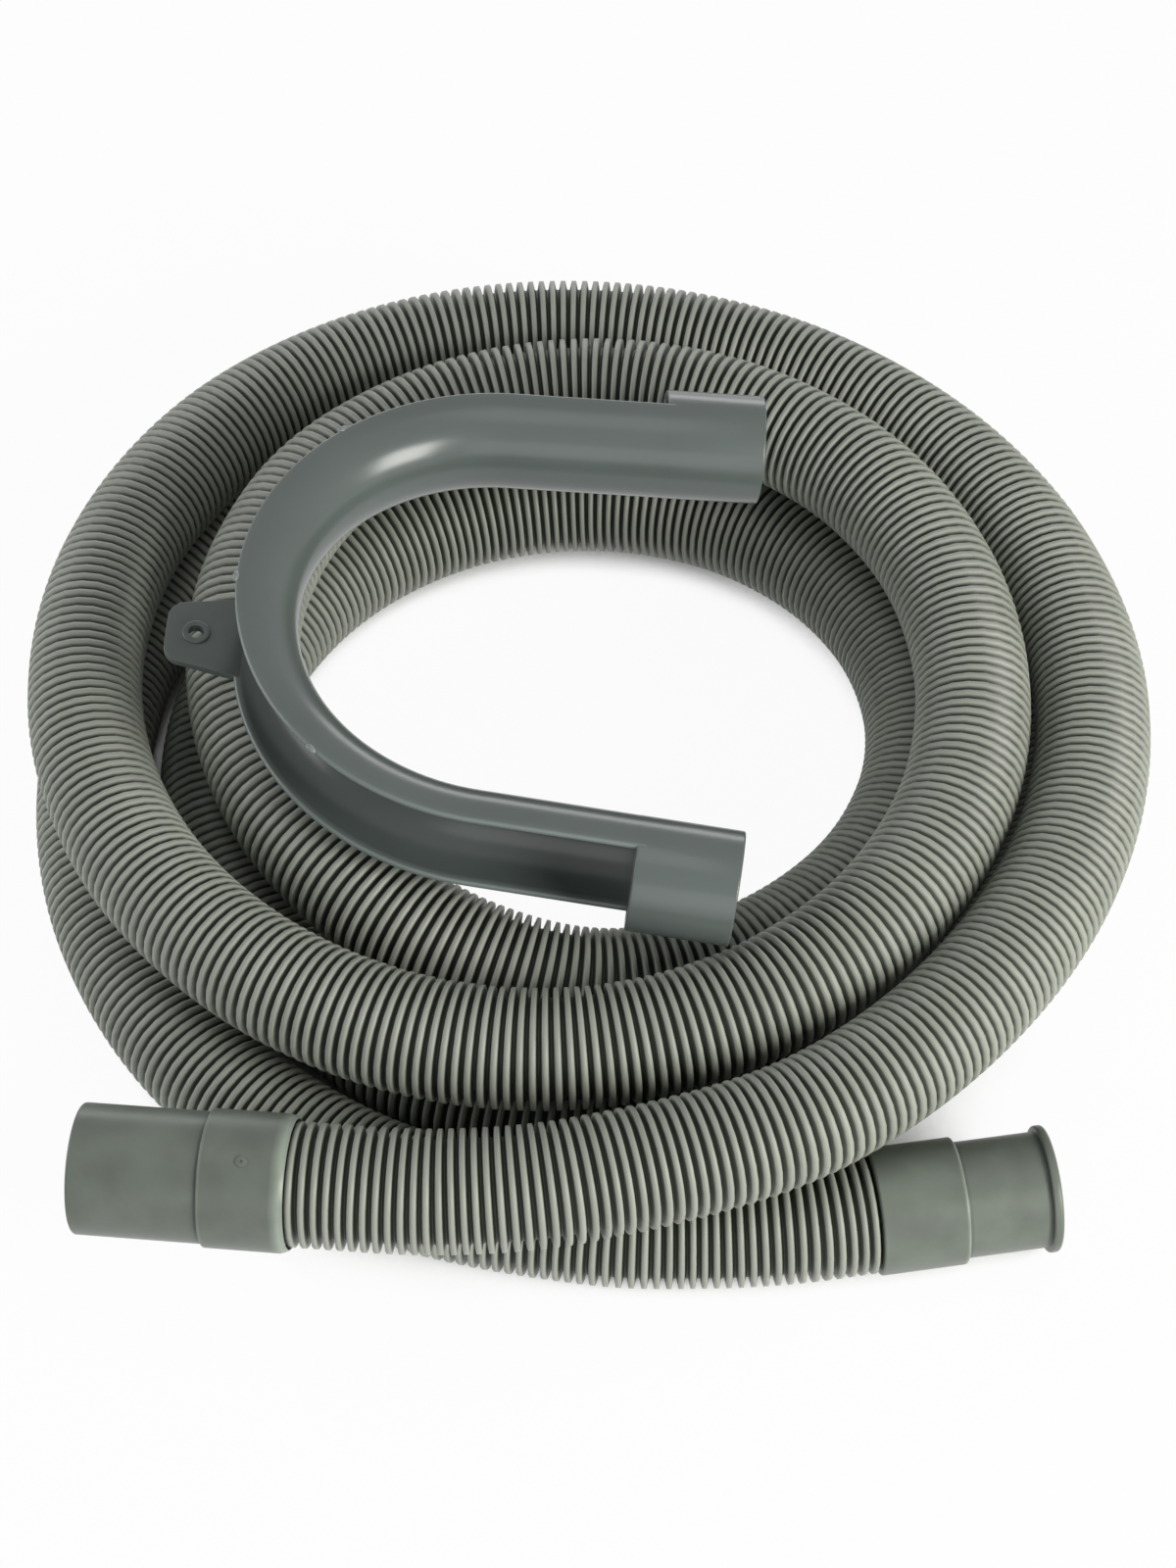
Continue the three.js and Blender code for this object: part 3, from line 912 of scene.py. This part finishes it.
def ear_boss(sizes):
    """The low raised ring round the ear's hole."""
    low, high = sizes.wall - BOSS_SINK, sizes.wall + sizes.boss_height
    inside, outside = sizes.hole_radius, sizes.boss_radius
    bm = spun([(low, inside), (high, inside), (high, outside), (low, outside)], BOSS_SIDES)
    round_ring(bm, high, outside, BOSS_OUTER_ROUND, 3)
    round_ring(bm, high, inside, BOSS_INNER_ROUND, 2)
    upright = Matrix.Rotation(-math.pi / 2, 4, "Y")
    return moved(bm, Matrix.Translation((sizes.hole_reach, 0.0, 0.0)) @ upright)


def nub_mesh(sizes, angle):
    """A nub on the upper lip at that angle round the bend."""
    bm = bmesh.new()
    bmesh.ops.create_uvsphere(
        bm, u_segments=NUB_SIDES, v_segments=NUB_RINGS, radius=sizes.nub_radius
    )
    bmesh.ops.scale(bm, vec=(1.0, NUB_STRETCH, 1.0), verts=bm.verts)
    edge = bm.verts.layers.float.new("edge")
    # Painted highlight over the whole nub
    for vert in bm.verts:
        vert[edge] = LIP_HIGHLIGHT
    height = sizes.radius - sizes.nub_radius + NUB_RISE
    place = Vector((sizes.bend_radius + sizes.lip, 0.0, height))
    return moved(bm, Matrix.Rotation(angle, 4, "Z") @ Matrix.Translation(place))


def crook_mesh(sizes):
    """The crook: channel, two rings, the ear with its boss and three nubs."""
    straight = sizes.arm_length - sizes.ring_length
    rear = Matrix.Translation((straight, sizes.bend_radius, 0.0))
    over = Matrix.Rotation(math.pi, 4, "X")
    front = Matrix.Translation((straight, -sizes.bend_radius, 0.0)) @ over
    lifted = Matrix.Translation((0.0, 0.0, EAR_LIFT - sizes.radius))
    return joined([
        channel_mesh(sizes),
        moved(crook_ring_mesh(sizes), rear),
        moved(crook_ring_mesh(sizes), Matrix.Rotation(-sizes.flare, 4, "Z") @ front),
        moved(joined([ear_plate(sizes), ear_boss(sizes)]), Matrix.Rotation(EAR_ANGLE, 4, "Z") @ lifted),
        *[nub_mesh(sizes, angle) for angle in NUB_ANGLES],
    ])


class DRAINHOSE_OT_stage(bpy.types.Operator):
    """Adds the camera, the floor, the surroundings and the lamps"""

    bl_idname = "drainhose.stage"
    bl_label = "Add Stage"

    def execute(self, context):
        scene = context.scene
        scene.view_settings.view_transform = "Standard"
        add_camera(scene)
        add_floor(scene)
        add_world(scene)
        for lamp in LAMPS:
            add_lamp(scene, *lamp)
        return {"FINISHED"}


def add_camera(scene):
    """A camera at the photograph's viewing angle."""
    data = bpy.data.cameras.new("camera")
    data.sensor_width = SENSOR_WIDTH_MM
    data.lens = data.sensor_width * PHOTO_FOCAL_PX / PICTURE_HEIGHT_PX
    data.clip_start, data.clip_end = SEES_FROM, SEES_TO
    camera = bpy.data.objects.new("camera", data)
    back = Vector((0.0, -math.cos(PHOTO_ELEVATION), math.sin(PHOTO_ELEVATION)))
    camera.location = PHOTO_TARGET + COIL_MIDDLE + back * PHOTO_DISTANCE
    camera.rotation_mode = "QUATERNION"
    camera.rotation_quaternion = (-back).to_track_quat("-Z", "Y")
    scene.collection.objects.link(camera)
    scene.camera = camera


def seen_or_mirrored(tree, mirrored):
    """One for a camera ray, a share for a glossy or transmission ray, and nought for any other."""
    path = tree.nodes.new("ShaderNodeLightPath").outputs
    share = path["Is Camera Ray"]
    for ray in ("Is Glossy Ray", "Is Transmission Ray"):
        share = maths(tree, "MAXIMUM", share, maths(tree, "MULTIPLY", path[ray], mirrored))
    return share


def glowing(tree, kind, tone, strength):
    """A node of that kind that gives off light."""
    node = tree.nodes.new(kind)
    node.inputs["Color"].default_value = (*tone, 1.0)
    node.inputs["Strength"].default_value = strength
    return node.outputs[0]


def mix_shaders(tree, share, first, second, surface):
    """Links a mix of two shaders to the surface, with that share of the second."""
    mix = tree.nodes.new("ShaderNodeMixShader")
    for socket, output in zip(mix.inputs, (share, first, second)):
        tree.links.new(output, socket)
    tree.links.new(mix.outputs[0], surface)


def floor_material(finish):
    """Pale and matt, and plain white to the camera where nothing stands close over it."""
    made = bpy.data.materials.new("floor_white")
    tree, surface = emptied(made, "ShaderNodeOutputMaterial")
    matt = tree.nodes.new("ShaderNodeBsdfDiffuse")
    matt.inputs["Color"].default_value = (*finish.floor, 1.0)
    cover = tree.nodes.new("ShaderNodeAmbientOcclusion")
    cover.inputs["Distance"].default_value = COVER_DISTANCE
    bare = ranged(tree, cover.outputs["AO"], (COVERED, OPEN), (0.0, OPEN_WHITENESS), "SMOOTHSTEP")
    share = maths(tree, "MULTIPLY", seen_or_mirrored(tree, FLOOR_MIRRORED), bare)
    glow = glowing(tree, "ShaderNodeEmission", WHITE, 1.0)
    mix_shaders(tree, share, matt.outputs[0], glow, surface)
    return made


def add_floor(scene):
    """A plain pale floor that looks white where it is open and keeps the object's soft shadow."""
    bm = bmesh.new()
    bmesh.ops.create_grid(bm, x_segments=1, y_segments=1, size=FLOOR_REACH)
    mesh = bpy.data.meshes.new("floor")
    bm.to_mesh(mesh)
    bm.free()
    mesh.materials.append(floor_material(scene.drain_hose_finish))
    floor = bpy.data.objects.new("floor", mesh)
    scene.collection.objects.link(floor)


def add_world(scene):
    """Even pale surroundings, plain white where they are seen and less so where they are mirrored."""
    world = bpy.data.worlds.new("surroundings")
    scene.world = world
    tree, surface = emptied(world, "ShaderNodeOutputWorld")
    around = glowing(tree, "ShaderNodeBackground", AROUND_TONE, AROUND_STRENGTH)
    plain = glowing(tree, "ShaderNodeBackground", WHITE, 1.0)
    mix_shaders(tree, seen_or_mirrored(tree, AROUND_MIRRORED), around, plain, surface)


def add_lamp(scene, name, place, size, power, tone):
    """A rectangular lamp at that place, turned towards the coil."""
    data = bpy.data.lights.new(name, "AREA")
    data.shape = "RECTANGLE"
    data.size, data.size_y = size
    data.energy = power
    data.color = tone
    lamp = bpy.data.objects.new(name, data)
    lamp.location = place
    lamp.rotation_mode = "QUATERNION"
    lamp.rotation_quaternion = (COIL_MIDDLE - Vector(place)).to_track_quat("-Z", "Y")
    scene.collection.objects.link(lamp)


class DRAINHOSE_OT_hose(bpy.types.Operator):
    """Adds the corrugated hose, laid in its coil"""

    bl_idname = "drainhose.hose"
    bl_label = "Add Hose"

    def execute(self, context):
        scene = context.scene
        tube = scene.drain_hose_tube
        route = Route(smooth_route(route_points(scene.drain_hose_cuffs, tube)))
        bm = spun(rib_profile(tube, route.whole), tube.sides)
        piece = add_piece("hose_tube", bm, hose_material(scene.drain_hose_finish), ["hose"])
        lay_along(piece, route, tube)
        return {"FINISHED"}


class DRAINHOSE_OT_outlet_cuff(bpy.types.Operator):
    """Adds the cuff at the hose's outlet, front left"""

    bl_idname = "drainhose.outlet_cuff"
    bl_label = "Add Outlet Cuff"

    def execute(self, context):
        scene = context.scene
        bm = outlet_cuff_mesh(scene.drain_hose_cuffs, scene.drain_hose_tube)
        moved(bm, place_matrix(OUTLET_TIP, OUTLET_HEADING, OUTLET_RISE))
        material = cuff_material(scene.drain_hose_finish)
        sharpen(add_piece("outlet_cuff_skin", bm, material, ["outlet_cuff"]))
        return {"FINISHED"}


class DRAINHOSE_OT_machine_cuff(bpy.types.Operator):
    """Adds the cuff for the machine, front right"""

    bl_idname = "drainhose.machine_cuff"
    bl_label = "Add Machine Cuff"

    def execute(self, context):
        scene = context.scene
        bm = machine_cuff_mesh(scene.drain_hose_cuffs)
        moved(bm, place_matrix(MACHINE_START, MACHINE_HEADING))
        material = cuff_material(scene.drain_hose_finish)
        sharpen(add_piece("machine_cuff_skin", bm, material, ["machine_cuff"]))
        return {"FINISHED"}


class DRAINHOSE_OT_crook(bpy.types.Operator):
    """Adds the crook that lies on the coil"""

    bl_idname = "drainhose.crook"
    bl_label = "Add Crook"

    def execute(self, context):
        scene = context.scene
        bm = crook_mesh(scene.drain_hose_crook)
        moved(bm, place_matrix(CROOK_MIDDLE, rise=-CROOK_TILT, roll=CROOK_ROLL))
        material = crook_material(scene.drain_hose_finish)
        sharpen(add_piece("crook_skin", bm, material, ["hose_crook"]))
        return {"FINISHED"}


class DRAINHOSE_PT_panel(bpy.types.Panel):
    """The drain hose's sizes and its operators"""

    bl_idname = "DRAINHOSE_PT_panel"
    bl_label = "Drain Hose"
    bl_space_type = "VIEW_3D"
    bl_region_type = "UI"
    bl_category = "Drain Hose"

    def draw(self, context):
        for name, group in GROUPS.items():
            box = self.layout.box()
            box.label(text=group.__doc__)
            for field in group.__annotations__:
                box.prop(getattr(context.scene, name), field)
        for operator in OPERATORS:
            self.layout.operator(operator.bl_idname)


OPERATORS = (
    DRAINHOSE_OT_stage,
    DRAINHOSE_OT_hose,
    DRAINHOSE_OT_outlet_cuff,
    DRAINHOSE_OT_machine_cuff,
    DRAINHOSE_OT_crook,
)

GROUPS = {
    "drain_hose_tube": DrainHoseTube,
    "drain_hose_cuffs": DrainHoseCuffs,
    "drain_hose_crook": DrainHoseCrook,
    "drain_hose_finish": DrainHoseFinish,
}

CLASSES = (*GROUPS.values(), *OPERATORS, DRAINHOSE_PT_panel)


def register():
    """Adds the classes, and the properties that hold the sizes."""
    for cls in CLASSES:
        bpy.utils.register_class(cls)
    for name, group in GROUPS.items():
        setattr(bpy.types.Scene, name, PointerProperty(type=group))


def unregister():
    """Takes them away again."""
    for name in GROUPS:
        delattr(bpy.types.Scene, name)
    for cls in reversed(CLASSES):
        bpy.utils.unregister_class(cls)


def main():
    """Adds the stage and every piece."""
    register()
    bpy.ops.drainhose.stage()
    bpy.ops.drainhose.hose()
    bpy.ops.drainhose.outlet_cuff()
    bpy.ops.drainhose.machine_cuff()
    bpy.ops.drainhose.crook()


if __name__ == "__main__":
    main()
